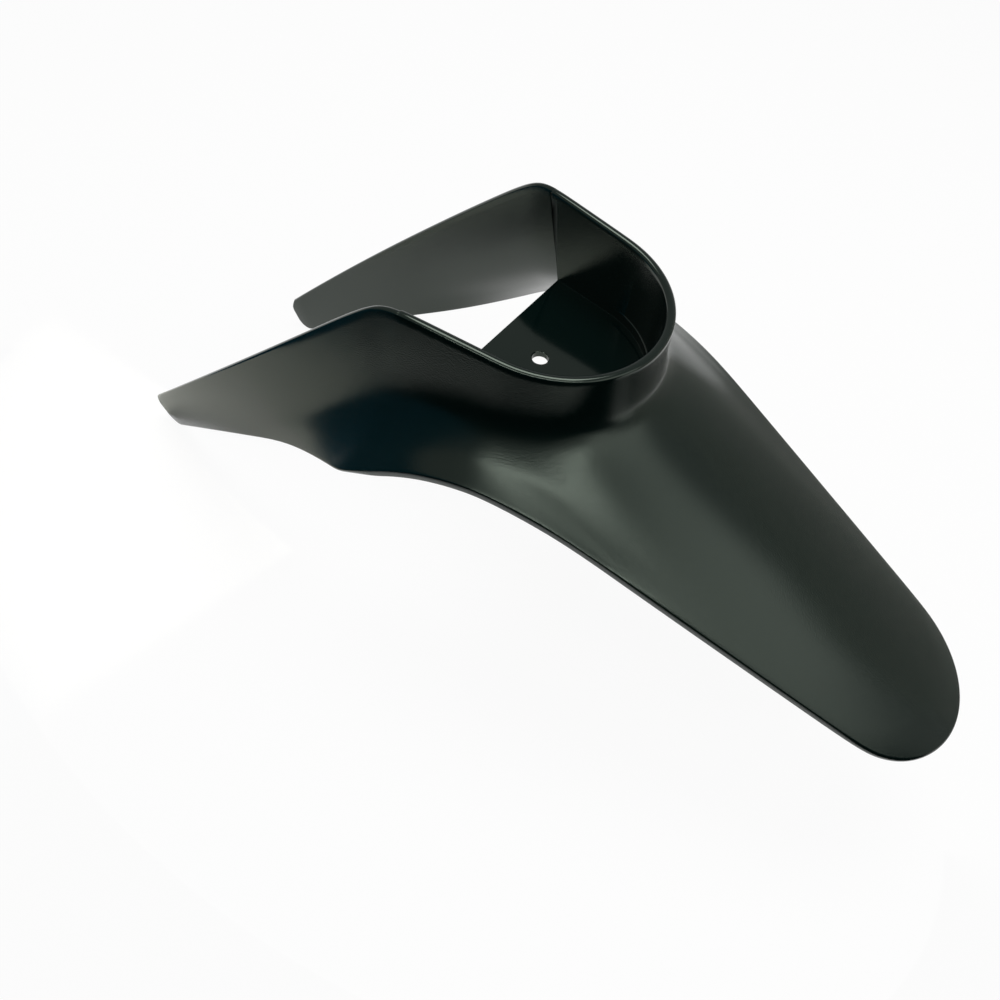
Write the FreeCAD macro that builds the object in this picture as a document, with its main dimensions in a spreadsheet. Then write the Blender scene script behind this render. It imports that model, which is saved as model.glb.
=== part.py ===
# Front mudguard: one moulding with an arched tongue, a U-shaped collar and two rear wings.
# Frame: the bolt's hole in the collar's floor is the origin, +Z is the bolt's axis pointing up,
# +X points forward along the tongue and the part is the same on both sides of Y = 0.
import FreeCAD, Part
import math
import os
from types import SimpleNamespace
import Sketcher
from FreeCAD import Vector

# Driving sizes in millimetres and degrees. Reach and back are distances ahead of and behind
# the bolt, half is half a width, and drop is a depth below the collar's floor.
SIZES = {
    "skin_wall": 2.8,         # wall of the tongue, the skirt and the wings
    "rim_wall": 3.4,          # wall of the collar with its lining
    "lining_lap": 1.4,        # how deep the lining starts inside the skin
    "lining_step": 0.4,       # the lining ends this far below the rim
    "collar_radius": 43.9,    # outside of the collar's round front
    "collar_centre": 1.5,     # centre of that round, ahead of the bolt
    "side_taper": 7.6,        # each collar side opens towards the rear by this angle
    "rim_height": 34.3,       # rim above the floor at the bolt
    "rim_fall": 4.0,          # the rim falls towards the front by this angle
    "rim_round": 1.1,         # height of the broken corners along the rim and the wing tops
    "edge_round": 0.85,       # and along the free edge of the tongue, the skirt and the wings
    "floor_wall": 3.0,        # floor of the collar
    "floor_back": 20.7,       # straight rear edge of the floor
    "floor_fillet": 1.2,      # round between floor and lining
    "seam_lean": 10.0,        # the lining's rear end leans back this far from floor to rim
    "bolt_hole": 6.6,         # clearance for an M6 bolt
    "peak_back": 38.0,        # where the rim turns down into the wing
    "peak_soft": 1.7,         # how much that turn is rounded off
    "wing_back": 214.0,       # rear corner of the wing's upper edge
    "wing_drop": 127.3,
    "wing_half": 54.7,
    "wing_bow": 8.7,          # the upper edge bows outwards
    "wing_arch": 1.7,         # and upwards
    "low_back": 204.0,        # rear corner of the wing's lower edge
    "low_drop": 142.4,
    "low_half": 54.3,
    "low_spread": 8.1,        # the lower edge widens by this much towards the flare
    "upper_round": 5.0,       # rounded corners of the wing's end
    "lower_round": 8.0,
    "flare_back": 42.0,       # corner where the wing's lower edge meets the skirt's edge
    "flare_half": 73.4,
    "flare_drop": 32.3,
    "flare_run": 60.0,        # the flare fades out over this length of the wing
    "tip_reach": 203.1,       # front of the tongue
    "tip_radius": 36.6,
    "edge_taper": 10.3,       # plan angle of the tongue's edge where it leaves the tip's round
    "edge_fall": 20.6,        # side view angle of the tongue's edge
    "edge_height": 9.5,       # that edge, run back to the bolt, is this high
    "hump_radius": 82.0,      # side view round between the tongue's edge and the skirt's edge
    "tip_crown": 3.0,         # rise of the tongue's middle over its edges, at the tip
    "root_crown": 14.0,       # and where the tongue leaves the collar
    "flare_crown": 36.0,      # and at the flare's corner
    "fillet_reach": 13.0,     # hollow between the collar and the tongue
    "fillet_lift": 3.5,
    "foot_out": 2.2,          # the collar's wall spreads this much down to its foot
}

# How many columns of poles each stretch of the skin has
TIP_COLUMNS = 6
EDGE_COLUMNS = 6
SIDE_COLUMNS = 6
WING_COLUMNS = 11
# A column goes down the collar's wall by these shares of its height, each with its share of the
# foot's spread, and then out over the plate by these shares of the way to the free edge
WALL_SHARES = ((0, 0), (0.33, 0.15), (0.72, 0.5))
PLATE_SHARES = (0, 0.45, 1)
# Share of the hollow's reach at which its own pole stands out from the wall's foot
HOLLOW_SHARE = 0.1
# The wing's columns stand closer together near the flare, which fades by a power of the distance
WING_POWER = 1.25
FADE_POWER = 1.5
# The wings are made longer than they end up by this share, and then trimmed
END_SPARE = 0.03
# Share of the wall that each broken corner of an edge takes
CORNER_SHARE = 0.3
# The free edge of the tongue is cut straight down, but no deeper than on a face sloped this much
LEAST_UPRIGHT = 0.7

doc = FreeCAD.newDocument("front_mudguard")
sheet = doc.addObject("Spreadsheet::Sheet", "Sizes")
for row, (name, value) in enumerate(SIZES.items(), start=1):
    sheet.set(f"A{row}", name)
    sheet.set(f"B{row}", str(value))
    sheet.setAlias(f"B{row}", name)
doc.recompute()
s = SimpleNamespace(**{name: float(sheet.get(name)) for name in SIZES})


def tangent(degrees):
    """Slope of an angle given in degrees."""
    return math.tan(math.radians(degrees))


# The collar in plan: a round front that runs on into two tapered sides
taper = math.radians(s.side_taper)
side_x = s.collar_centre + s.collar_radius * math.sin(taper)
side_y = s.collar_radius * math.cos(taper)


def collar_half(x):
    """Half width of the collar's tapered sides."""
    return side_y + math.tan(taper) * (side_x - x)


def rim_z(x):
    """Height of the sloping rim."""
    return s.rim_height - tangent(s.rim_fall) * x


peak_z = rim_z(-s.peak_back)
wing_slope = (peak_z + s.wing_drop) / (s.wing_back - s.peak_back)


def peak_loss(x):
    """What the round at the peak takes off the rim and off the wing's upper edge."""
    gap = abs(x + s.peak_back) * (wing_slope + tangent(s.rim_fall)) / 2
    return math.hypot(gap, s.peak_soft) - gap


# The tongue and skirt in plan: a round tip, then an edge that bends a little out to the flare
tip_centre = s.tip_reach - s.tip_radius
edge_angle = math.radians(s.edge_taper)
edge_x = tip_centre + s.tip_radius * math.sin(edge_angle)
edge_y = s.tip_radius * math.cos(edge_angle)
edge_run = edge_x + s.flare_back
edge_bend = (edge_y + math.tan(edge_angle) * edge_run - s.flare_half) / edge_run ** 2


def edge_half(x):
    """Half width of the tongue and the skirt."""
    return edge_y + math.tan(edge_angle) * (edge_x - x) - edge_bend * (edge_x - x) ** 2


# The same edge in side view: two straight slopes joined by the hump's round
front_slope = -tangent(s.edge_fall)
rear_slope = (s.low_drop - s.flare_drop) / (s.low_back - s.flare_back)
rear_height = rear_slope * s.flare_back - s.flare_drop
front_shift = s.hump_radius * math.hypot(1, front_slope)
rear_shift = s.hump_radius * math.hypot(1, rear_slope)
hump_x = (s.edge_height - front_shift - rear_height + rear_shift) / (rear_slope - front_slope)
hump_z = s.edge_height + front_slope * hump_x - front_shift
hump_front = hump_x - s.hump_radius * math.sin(math.atan(front_slope))
hump_rear = hump_x - s.hump_radius * math.sin(math.atan(rear_slope))


def edge_z(x):
    """Height of the tongue's and the skirt's edge."""
    if x > hump_front:
        return s.edge_height + front_slope * x
    if x < hump_rear:
        return rear_height + rear_slope * x
    return hump_z + math.sqrt(s.hump_radius ** 2 - (x - hump_x) ** 2)


collar_reach = s.collar_centre + s.collar_radius


def crown(x):
    """Rise of the skin's middle over its edge: straight along the tongue, steeper at the skirt."""
    along = (s.tip_reach - x) / (s.tip_reach - collar_reach)
    rise = s.tip_crown + (s.root_crown - s.tip_crown) * along
    flare_along = (s.tip_reach + s.flare_back) / (s.tip_reach - collar_reach)
    flare_rise = s.tip_crown + (s.root_crown - s.tip_crown) * flare_along
    behind = max(0.0, (collar_reach - x) / (collar_reach + s.flare_back))
    return rise + (s.flare_crown - flare_rise) * behind ** 2


def plate_z(x, y):
    """Height of the arched tongue and skirt: a parabola across, from edge to edge."""
    return edge_z(x) + crown(x) * (1 - (y / edge_half(x)) ** 2)


def wall_column(foot_x, foot_y, out_x, out_y, end_x, end_y):
    """Poles from the rim down the collar's wall, through the hollow and out to the free edge."""
    top = rim_z(foot_x) - peak_loss(foot_x)
    foot = plate_z(foot_x + s.foot_out * out_x, foot_y + s.foot_out * out_y)
    poles = []
    for down, spread in WALL_SHARES:
        out = spread * s.foot_out
        poles.append(Vector(foot_x + out * out_x, foot_y + out * out_y, top - down * (top - foot)))
    out = s.foot_out + HOLLOW_SHARE * s.fillet_reach
    poles.append(Vector(foot_x + out * out_x, foot_y + out * out_y, foot + s.fillet_lift))
    start_x = foot_x + s.fillet_reach * out_x
    start_y = foot_y + s.fillet_reach * out_y
    for share in PLATE_SHARES:
        x = start_x + (end_x - start_x) * share
        y = start_y + (end_y - start_y) * share
        poles.append(Vector(x, y, plate_z(x, y)))
    return poles


side_edge_x = side_x + s.fillet_reach


def front_columns():
    """Columns round the collar's front, which fan out to the tip and the tongue's edge."""
    columns = []
    count = TIP_COLUMNS + EDGE_COLUMNS
    for index in range(count + 1):
        turn = (math.pi / 2 - taper) * index / count
        out_x, out_y = math.cos(turn), math.sin(turn)
        foot_x = s.collar_centre + s.collar_radius * out_x
        foot_y = s.collar_radius * out_y
        if index <= TIP_COLUMNS:
            swing = (math.pi / 2 - edge_angle) * index / TIP_COLUMNS
            end_x = tip_centre + s.tip_radius * math.cos(swing)
            end_y = s.tip_radius * math.sin(swing)
        else:
            end_x = edge_x + (side_edge_x - edge_x) * (index - TIP_COLUMNS) / EDGE_COLUMNS
            end_y = edge_half(end_x)
        columns.append(wall_column(foot_x, foot_y, out_x, out_y, end_x, end_y))
    return columns


def side_columns():
    """Columns down the collar's straight side, from its round front to the peak."""
    columns = []
    for index in range(1, SIDE_COLUMNS + 1):
        share = index / SIDE_COLUMNS
        foot_x = side_x - (side_x + s.peak_back) * share
        end_x = side_edge_x - (side_edge_x + s.flare_back) * share
        columns.append(wall_column(foot_x, collar_half(foot_x), math.sin(taper), math.cos(taper),
                                   end_x, edge_half(end_x)))
    return columns


def wing_columns(first):
    """Columns of the wing: straight from its upper to its lower edge, plus a fading flare."""
    shares = [math.sqrt(index / (len(first) - 1)) for index in range(len(first))]
    bulge = [pole - (first[0] + (first[-1] - first[0]) * share)
             for pole, share in zip(first, shares)]
    columns = []
    for index in range(1, WING_COLUMNS + 1):
        along = (1 + END_SPARE) * (index / WING_COLUMNS) ** WING_POWER
        hump = 4 * along * (1 - along)
        high_x = -s.peak_back - (s.wing_back - s.peak_back) * along
        high_y = first[0].y + (s.wing_half - first[0].y) * along + s.wing_bow * hump
        high_z = peak_z - (peak_z + s.wing_drop) * along + s.wing_arch * hump
        upper = Vector(high_x, high_y, high_z - peak_loss(high_x))
        low_x = -s.flare_back - (s.low_back - s.flare_back) * along
        fade = max(0.0, 1 - (-s.flare_back - low_x) / s.flare_run) ** FADE_POWER
        spread = s.low_spread * (1 - along)
        flare = (s.flare_half - s.low_half - s.low_spread) * fade
        lower = Vector(low_x, s.low_half + spread + flare, edge_z(low_x))
        columns.append([upper + (lower - upper) * share + swell * fade
                        for share, swell in zip(shares, bulge)])
    return columns


def mirrored(columns):
    """The columns of one side, and before them the same columns on the other side."""
    other = [[Vector(pole.x, -pole.y, pole.z) for pole in column] for column in columns[:0:-1]]
    return other + columns


def inner_net(outer):
    """The outer poles moved in by the wall, straight down at the tongue's free edge."""
    last = len(outer) - 1
    inner = []
    for index, column in enumerate(outer):
        before = outer[max(index - 1, 0)]
        after = outer[min(index + 1, last)]
        moved = []
        for level, pole in enumerate(column):
            down = column[min(level + 1, len(column) - 1)] - column[max(level - 1, 0)]
            normal = down.cross(after[level] - before[level])
            if index in (0, last):
                normal = Vector(0, -1 if pole.y < 0 else 1, 0)
            normal.normalize()
            moved.append(pole - normal * s.skin_wall)
        if column[-1].x > hump_rear:
            drop = s.skin_wall / max(LEAST_UPRIGHT, abs(normal.z))
            moved[-1] = column[-1] - Vector(0, 0, drop)
        inner.append(moved)
    return inner


def nose_nets(outer, inner, level, height):
    """Three strips that close an edge from the outer to the inner skin: corner, flat and corner."""
    beside = 1 if level == 0 else -2
    rows = []
    for outer_column, inner_column in zip(outer, inner):
        start, end = outer_column[level], inner_column[level]
        lead = (start - outer_column[beside]).normalize() * height
        corner = (end - start) * CORNER_SHARE
        rows.append([start, start + lead + corner, end + lead - corner, end])
    return [[row[strip:strip + 2] for row in rows] for strip in range(3)]


def clamped_spline(count):
    """Degree, knots and multiplicities of a spline with free ends, cubic if it has the poles."""
    degree = min(3, count - 1)
    spans = count - degree
    knots = [knot / spans for knot in range(spans + 1)]
    return degree, knots, [degree + 1] + [1] * (spans - 1) + [degree + 1]


def net_face(net):
    """Spline face over a net of poles."""
    u_degree, u_knots, u_mults = clamped_spline(len(net))
    v_degree, v_knots, v_mults = clamped_spline(len(net[0]))
    surface = Part.BSplineSurface()
    surface.buildFromPolesMultsKnots(net, u_mults, v_mults, u_knots, v_knots, False, False,
                                     u_degree, v_degree)
    return surface.toShape()


def spline_edge(poles):
    """Spline edge over a row of poles."""
    degree, knots, mults = clamped_spline(len(poles))
    curve = Part.BSplineCurve()
    curve.buildFromPolesMultsKnots(poles, mults, knots, False, degree)
    return curve.toShape()


def skin_solid():
    """The whole skin as one closed solid: outside, inside, closed edges and wing ends."""
    columns = front_columns() + side_columns()
    columns += wing_columns(columns[-1])
    outer = mirrored(columns)
    inner = inner_net(outer)
    nets = [outer, inner]
    nets += nose_nets(outer, inner, 0, s.rim_round)
    nets += nose_nets(outer, inner, -1, s.edge_round)
    faces = [net_face(net) for net in nets]
    for end in (0, -1):
        border = [spline_edge(net[end]) for net in nets]
        faces.append(Part.Face(Part.Wire(Part.__sortEdges__(border))))
    shell = Part.Shell(faces)
    shell.sewShape()
    solid = Part.Solid(shell)
    if solid.Volume < 0:
        solid.reverse()
    return solid


def corner_arc(corner, before, after, radius):
    """Arc that rounds a corner between two directions, with its two ends."""
    half = before.getAngle(after) / 2
    run = radius / math.tan(half)
    middle = (before + after).normalize() * (radius / math.sin(half) - radius)
    first, last = corner + before * run, corner + after * run
    return Part.Arc(first, corner + middle, last).toShape(), first, last


def end_trim():
    """Block that trims both wings to a straight end with rounded corners, in side view."""
    width = 2 * s.flare_half
    upper = Vector(-s.wing_back, -s.flare_half, -s.wing_drop)
    lower = Vector(-s.low_back, -s.flare_half, -s.low_drop)
    down = (lower - upper).normalize()
    upper -= down * s.rim_round
    lower += down * s.edge_round
    upper_slope = wing_slope + 4 * s.wing_arch / (s.wing_back - s.peak_back)
    upper_ahead = Vector(1, 0, upper_slope).normalize()
    lower_ahead = Vector(1, 0, rear_slope).normalize()
    upper_arc, upper_start, upper_end = corner_arc(upper, upper_ahead, down, s.upper_round)
    lower_arc, lower_start, lower_end = corner_arc(lower, -down, lower_ahead, s.lower_round)
    spare = upper.distanceToPoint(lower)
    above = upper_start + Vector(-upper_ahead.z, 0, upper_ahead.x) * spare
    below = lower_end + Vector(lower_ahead.z, 0, -lower_ahead.x) * spare
    corners = [lower_end, below, below - lower_ahead * 3 * spare, above - upper_ahead * 3 * spare,
               above, upper_start]
    border = [upper_arc, Part.makeLine(upper_end, lower_start), lower_arc]
    border += [Part.makeLine(*pair) for pair in zip(corners, corners[1:])]
    return Part.Face(Part.Wire(border)).extrude(Vector(0, width, 0))


def origin_plane(body, role):
    """The plane of a body's own origin that has this role."""
    return next(item for item in body.Origin.OriginFeatures if item.Role == role)


def attached_sketch(body, name, role):
    """An empty sketch on one of the body's origin planes."""
    sketch = body.newObject("Sketcher::SketchObject", name)
    sketch.AttachmentSupport = [(origin_plane(body, role), "")]
    sketch.MapMode = "FlatFace"
    return sketch


def tied(sketch, kind, *where, size):
    """A dimension of a sketch that follows an expression of the sheet's sizes."""
    index = sketch.addConstraint(Sketcher.Constraint(kind, *where, sketch.evalExpression(size)))
    sketch.setExpression(f"Constraints[{index}]", size)


def collar_sketch(body, name, inset, back):
    """The collar in plan, moved in from its outside: two tapered sides and a round front."""
    sketch = attached_sketch(body, name, "XY_Plane")
    radius = s.collar_radius - sketch.evalExpression(inset)
    rear = -sketch.evalExpression(back)
    turn = math.pi / 2 - taper
    end = Vector(s.collar_centre + radius * math.cos(turn), radius * math.sin(turn), 0)
    wide = Vector(rear, end.y + math.tan(taper) * (end.x - rear), 0)
    round_front = Part.Circle(Vector(s.collar_centre, 0, 0), Vector(0, 0, 1), radius)
    right_end, right_wide = Vector(end.x, -end.y, 0), Vector(rear, -wide.y, 0)
    sketch.addGeometry([
        Part.LineSegment(right_wide, right_end),
        Part.ArcOfCircle(round_front, -turn, turn),
        Part.LineSegment(end, wide),
        Part.LineSegment(wide, right_wide)])
    for first, second in ((0, 1), (1, 2)):
        sketch.addConstraint(Sketcher.Constraint("Tangent", first, 2, second, 1))
    for first, second in ((2, 3), (3, 0)):
        sketch.addConstraint(Sketcher.Constraint("Coincident", first, 2, second, 1))
    sketch.addConstraint(Sketcher.Constraint("PointOnObject", 1, 3, -1))
    sketch.addConstraint(Sketcher.Constraint("Symmetric", 0, 1, 2, 2, -1))
    tied(sketch, "DistanceX", -1, 1, 1, 3, size="Sizes.collar_centre")
    tied(sketch, "Radius", 1, size=f"Sizes.collar_radius - ({inset})")
    tied(sketch, "Angle", 0, size="Sizes.side_taper * 1 deg")
    tied(sketch, "DistanceX", 0, 1, -1, 1, size=back)
    return sketch


def side_cut_sketch(body):
    """What the lining loses in side view: all above its top and all behind its leaning end."""
    sketch = attached_sketch(body, "SideCut", "XZ_Plane")
    top = "Sizes.rim_height - Sizes.lining_step"
    fall = "tan(Sizes.rim_fall * 1 deg)"
    lean_x = "-Sizes.floor_back - Sizes.seam_lean"
    front_x = "2 * Sizes.collar_radius"
    rear_x = "-Sizes.floor_back - 3 * Sizes.seam_lean"
    below = "-2 * Sizes.floor_wall"
    above = "2 * Sizes.rim_height"
    corners = [
        ("-Sizes.floor_back", below),
        ("-Sizes.floor_back", "0"),
        (lean_x, f"{top} - ({lean_x}) * {fall}"),
        (front_x, f"{top} - {front_x} * {fall}"),
        (front_x, above),
        (rear_x, above),
        (rear_x, below)]
    points = [Vector(float(sketch.evalExpression(x)), float(sketch.evalExpression(z)), 0)
              for x, z in corners]
    count = len(corners)
    sketch.addGeometry([Part.LineSegment(points[i], points[(i + 1) % count]) for i in range(count)])
    for index, (x, z) in enumerate(corners):
        sketch.addConstraint(Sketcher.Constraint("Coincident", index, 2, (index + 1) % count, 1))
        tied(sketch, "DistanceX", -1, 1, index, 1, size=x)
        if z == "0":
            sketch.addConstraint(Sketcher.Constraint("PointOnObject", index, 1, -1))
        else:
            tied(sketch, "DistanceY", -1, 1, index, 1, size=z)
    return sketch


def cut_through(body, name, sketch, **settings):
    """A pocket of the body that goes all the way, and is checked to have taken something away."""
    before = body.Shape.Volume
    pocket = body.newObject("PartDesign::Pocket", name)
    pocket.Profile = sketch
    pocket.Type = "ThroughAll"
    for key, value in settings.items():
        setattr(pocket, key, value)
    doc.recompute()
    if body.Shape.Volume > before - 1:
        raise RuntimeError(f"{name} cuts nothing")
    return pocket


# The collar's lining: its floor and its wall in one cup, open at the top and at the rear
lining = doc.addObject("PartDesign::Body", "Lining")
outline = collar_sketch(lining, "LiningOutline", "Sizes.lining_lap",
                        "Sizes.floor_back + Sizes.seam_lean")
outline.setExpression("AttachmentOffset.Base.z", "-Sizes.floor_wall")
block = lining.newObject("PartDesign::Pad", "LiningBlock")
block.Profile = outline
block.setExpression("Length", "2 * Sizes.rim_height")
doc.recompute()

hollow = collar_sketch(lining, "LiningHollow", "Sizes.rim_wall",
                       "Sizes.floor_back + 2 * Sizes.seam_lean")
cut_through(lining, "Hollow", hollow, Reversed=True)
open_cup = cut_through(lining, "SideTrim", side_cut_sketch(lining), SideType="Symmetric")

foot_edges = [f"Edge{number}" for number, edge in enumerate(open_cup.Shape.Edges, start=1)
              if abs(edge.BoundBox.ZMax) < 0.001 and abs(edge.BoundBox.ZMin) < 0.001
              and edge.BoundBox.XLength > 1]
foot_round = lining.newObject("PartDesign::Fillet", "FootRound")
foot_round.Base = (open_cup, foot_edges)
foot_round.setExpression("Radius", "Sizes.floor_fillet")
doc.recompute()

bolt = attached_sketch(lining, "BoltCircle", "XY_Plane")
bolt.addGeometry(Part.Circle(Vector(0, 0, 0), Vector(0, 0, 1), s.bolt_hole / 2))
bolt.addConstraint(Sketcher.Constraint("Coincident", 0, 3, -1, 1))
tied(bolt, "Diameter", 0, size="Sizes.bolt_hole")
cut_through(lining, "BoltHole", bolt, SideType="Symmetric")

# The skin and its trimmed wing ends, and then the whole moulding
skin = doc.addObject("Part::Feature", "Skin")
skin.Shape = skin_solid()
ends = doc.addObject("Part::Feature", "WingEnds")
ends.Shape = end_trim()
trimmed = doc.addObject("Part::Cut", "TrimmedSkin")
trimmed.Base = skin
trimmed.Tool = ends
whole = doc.addObject("Part::Fuse", "Mudguard")
whole.Label = "mudguard"
whole.Base = trimmed
whole.Tool = lining
doc.recompute()

for item in doc.Objects:
    if "Invalid" in item.State or "Error" in item.State:
        raise RuntimeError(f"{item.Name} did not build: {item.State}")
if whole.Shape.isNull() or not whole.Shape.isValid() or len(whole.Shape.Solids) != 1:
    raise RuntimeError("the mudguard is not one valid solid")

os.makedirs("parts", exist_ok=True)
whole.Shape.exportStep("parts/mudguard.step")
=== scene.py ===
import math
from types import SimpleNamespace
import bpy
import numpy as np
from mathutils import Matrix, Vector


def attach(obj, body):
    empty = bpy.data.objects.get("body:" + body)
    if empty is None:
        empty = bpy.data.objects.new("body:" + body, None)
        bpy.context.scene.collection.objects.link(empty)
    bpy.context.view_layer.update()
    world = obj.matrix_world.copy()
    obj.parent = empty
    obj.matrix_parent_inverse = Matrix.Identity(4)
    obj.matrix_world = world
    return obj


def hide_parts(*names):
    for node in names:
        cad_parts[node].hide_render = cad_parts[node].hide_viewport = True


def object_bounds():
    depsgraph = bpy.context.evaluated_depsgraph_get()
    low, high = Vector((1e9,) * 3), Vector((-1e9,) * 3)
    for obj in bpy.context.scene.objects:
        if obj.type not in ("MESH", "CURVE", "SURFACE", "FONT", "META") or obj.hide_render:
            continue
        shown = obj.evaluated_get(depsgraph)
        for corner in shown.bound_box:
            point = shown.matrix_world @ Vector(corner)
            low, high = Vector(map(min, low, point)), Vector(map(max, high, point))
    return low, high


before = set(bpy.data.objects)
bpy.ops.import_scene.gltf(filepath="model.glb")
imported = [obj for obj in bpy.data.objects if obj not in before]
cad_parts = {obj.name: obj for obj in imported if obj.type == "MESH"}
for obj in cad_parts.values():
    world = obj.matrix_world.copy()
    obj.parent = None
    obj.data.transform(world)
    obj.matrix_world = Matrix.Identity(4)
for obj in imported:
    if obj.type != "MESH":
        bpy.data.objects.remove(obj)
cad_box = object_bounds()

# Sizes in millimetres and degrees, the same as the solid's. Reach and back are distances ahead of
# and behind the bolt, half is half a width, and drop is a depth below the collar's floor.
mm = SimpleNamespace(
    skin_wall=2.8, rim_wall=3.4, lining_wall=2.0, rim_round=1.1, edge_round=0.85,
    collar_radius=43.9, collar_centre=1.5, side_taper=7.6, rim_height=34.3, rim_fall=4.0,
    floor_wall=3.0, floor_back=20.7, seam_lean=10.0, bolt_hole=6.6,
    peak_back=38.0, peak_soft=1.7,
    wing_back=214.0, wing_drop=127.3, wing_half=54.7, wing_bow=8.7, wing_arch=1.7,
    low_back=204.0, low_drop=142.4, low_half=54.3, low_spread=8.1,
    upper_round=5.0, lower_round=8.0,
    flare_back=42.0, flare_half=73.4, flare_drop=32.3, flare_run=60.0,
    tip_reach=203.1, tip_radius=36.6, edge_taper=10.3, edge_fall=20.6, edge_height=9.5,
    hump_radius=82.0, tip_crown=3.0, root_crown=14.0, flare_crown=36.0,
    fillet_reach=13.0, fillet_lift=3.5, foot_out=2.2)
MM = 0.001

# Layout of the skin's poles
TIP_COLUMNS = 6
EDGE_COLUMNS = 6
SIDE_COLUMNS = 6
WING_COLUMNS = 11
WALL_SHARES = np.array([(0, 0), (0.33, 0.15), (0.72, 0.5)])
PLATE_SHARES = np.array([0, 0.45, 1])
HOLLOW_SHARE = 0.1
WING_POWER = 1.25
FADE_POWER = 1.5
END_SPARE = 0.03
# The skin's parameters end just short of 1, where the last basis function still counts
LAST_PLACE = 1 - 1e-12


def tangent(degrees):
    """Slope of an angle given in degrees."""
    return math.tan(math.radians(degrees))


def ease(share):
    """Smooth step from 0 to 1: three squares less two cubes of the share, held at both ends."""
    share = np.clip(share, 0, 1)
    return share * share * (3 - 2 * share)


# The collar in plan and its rim
taper = math.radians(mm.side_taper)
side_x = mm.collar_centre + mm.collar_radius * math.sin(taper)
side_y = mm.collar_radius * math.cos(taper)
collar_reach = mm.collar_centre + mm.collar_radius
side_edge_x = side_x + mm.fillet_reach


def rim_z(x):
    """Height of the sloping rim: straight, falling towards the front."""
    return mm.rim_height - tangent(mm.rim_fall) * x


peak_z = rim_z(-mm.peak_back)
wing_slope = (peak_z + mm.wing_drop) / (mm.wing_back - mm.peak_back)


def top_line(x):
    """Height of the upper border: the rim ahead of the peak and the wing's slope behind it."""
    return np.where(x > -mm.peak_back, rim_z(x), peak_z + wing_slope * (x + mm.peak_back))


def peak_loss(x):
    """What the round at the peak takes off: a hyperbola's height over its two straight arms."""
    gap_shade = np.abs(x + mm.peak_back) * (wing_slope + tangent(mm.rim_fall)) / 2
    return np.hypot(gap_shade, mm.peak_soft) - gap_shade


# The free edge in plan: a round tip, then an edge that bends a little out to the flare
tip_centre = mm.tip_reach - mm.tip_radius
edge_angle = math.radians(mm.edge_taper)
edge_x = tip_centre + mm.tip_radius * math.sin(edge_angle)
edge_y = mm.tip_radius * math.cos(edge_angle)
edge_run = edge_x + mm.flare_back
edge_bend = (edge_y + math.tan(edge_angle) * edge_run - mm.flare_half) / edge_run ** 2


def edge_half(x):
    """Half width of tongue and skirt: the tip's tangent line less a square of the distance."""
    return edge_y + math.tan(edge_angle) * (edge_x - x) - edge_bend * (edge_x - x) ** 2


# The free edge in side view: two straight slopes joined by the hump's round
front_slope = -tangent(mm.edge_fall)
rear_slope = (mm.low_drop - mm.flare_drop) / (mm.low_back - mm.flare_back)
rear_height = rear_slope * mm.flare_back - mm.flare_drop
front_shift = mm.hump_radius * math.hypot(1, front_slope)
rear_shift = mm.hump_radius * math.hypot(1, rear_slope)
hump_x = (mm.edge_height - front_shift - rear_height + rear_shift) / (rear_slope - front_slope)
hump_z = mm.edge_height + front_slope * hump_x - front_shift
hump_front = hump_x - mm.hump_radius * math.sin(math.atan(front_slope))
hump_rear = hump_x - mm.hump_radius * math.sin(math.atan(rear_slope))


def edge_z(x):
    """Height of the free edge: the front slope, the hump's circle, then the rear slope."""
    circle = hump_z + np.sqrt(np.maximum(mm.hump_radius ** 2 - (x - hump_x) ** 2, 0))
    ahead = mm.edge_height + front_slope * x
    behind = rear_height + rear_slope * x
    return np.where(x > hump_front, ahead, np.where(x < hump_rear, behind, circle))


def crown(x):
    """Rise of the middle over the edge: straight along the tongue, plus a square at the skirt."""
    per_length = (mm.root_crown - mm.tip_crown) / (mm.tip_reach - collar_reach)
    rise = mm.tip_crown + per_length * (mm.tip_reach - x)
    flare_rise = mm.tip_crown + per_length * (mm.tip_reach + mm.flare_back)
    behind = np.maximum(0, (collar_reach - x) / (collar_reach + mm.flare_back))
    return rise + (mm.flare_crown - flare_rise) * behind ** 2


def plate_z(x, y):
    """Height of the arched tongue and skirt: a parabola across, from edge to edge."""
    return edge_z(x) + crown(x) * (1 - (y / edge_half(x)) ** 2)


def wall_columns(foot, out, end):
    """Poles from the rim down the wall, through the hollow and over the plate to the free edge.

    foot, out and end are rows of plan points: the wall, its outward direction and the free edge.
    """
    top = rim_z(foot[:, 0]) - peak_loss(foot[:, 0])
    spread_foot = foot + mm.foot_out * out
    low = plate_z(spread_foot[:, 0], spread_foot[:, 1])
    down, spread = WALL_SHARES.T
    wall = foot[:, None] + (mm.foot_out * spread)[None, :, None] * out[:, None]
    wall_z = top[:, None] - down * (top - low)[:, None]
    hollow = foot + (mm.foot_out + HOLLOW_SHARE * mm.fillet_reach) * out
    start = foot + mm.fillet_reach * out
    plate = start[:, None] + (end - start)[:, None] * PLATE_SHARES[:, None]
    plan = np.concatenate([wall, hollow[:, None], plate], 1)
    height = np.concatenate([wall_z, (low + mm.fillet_lift)[:, None],
                             plate_z(plate[..., 0], plate[..., 1])], 1)
    return np.concatenate([plan, height[..., None]], 2)


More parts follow.
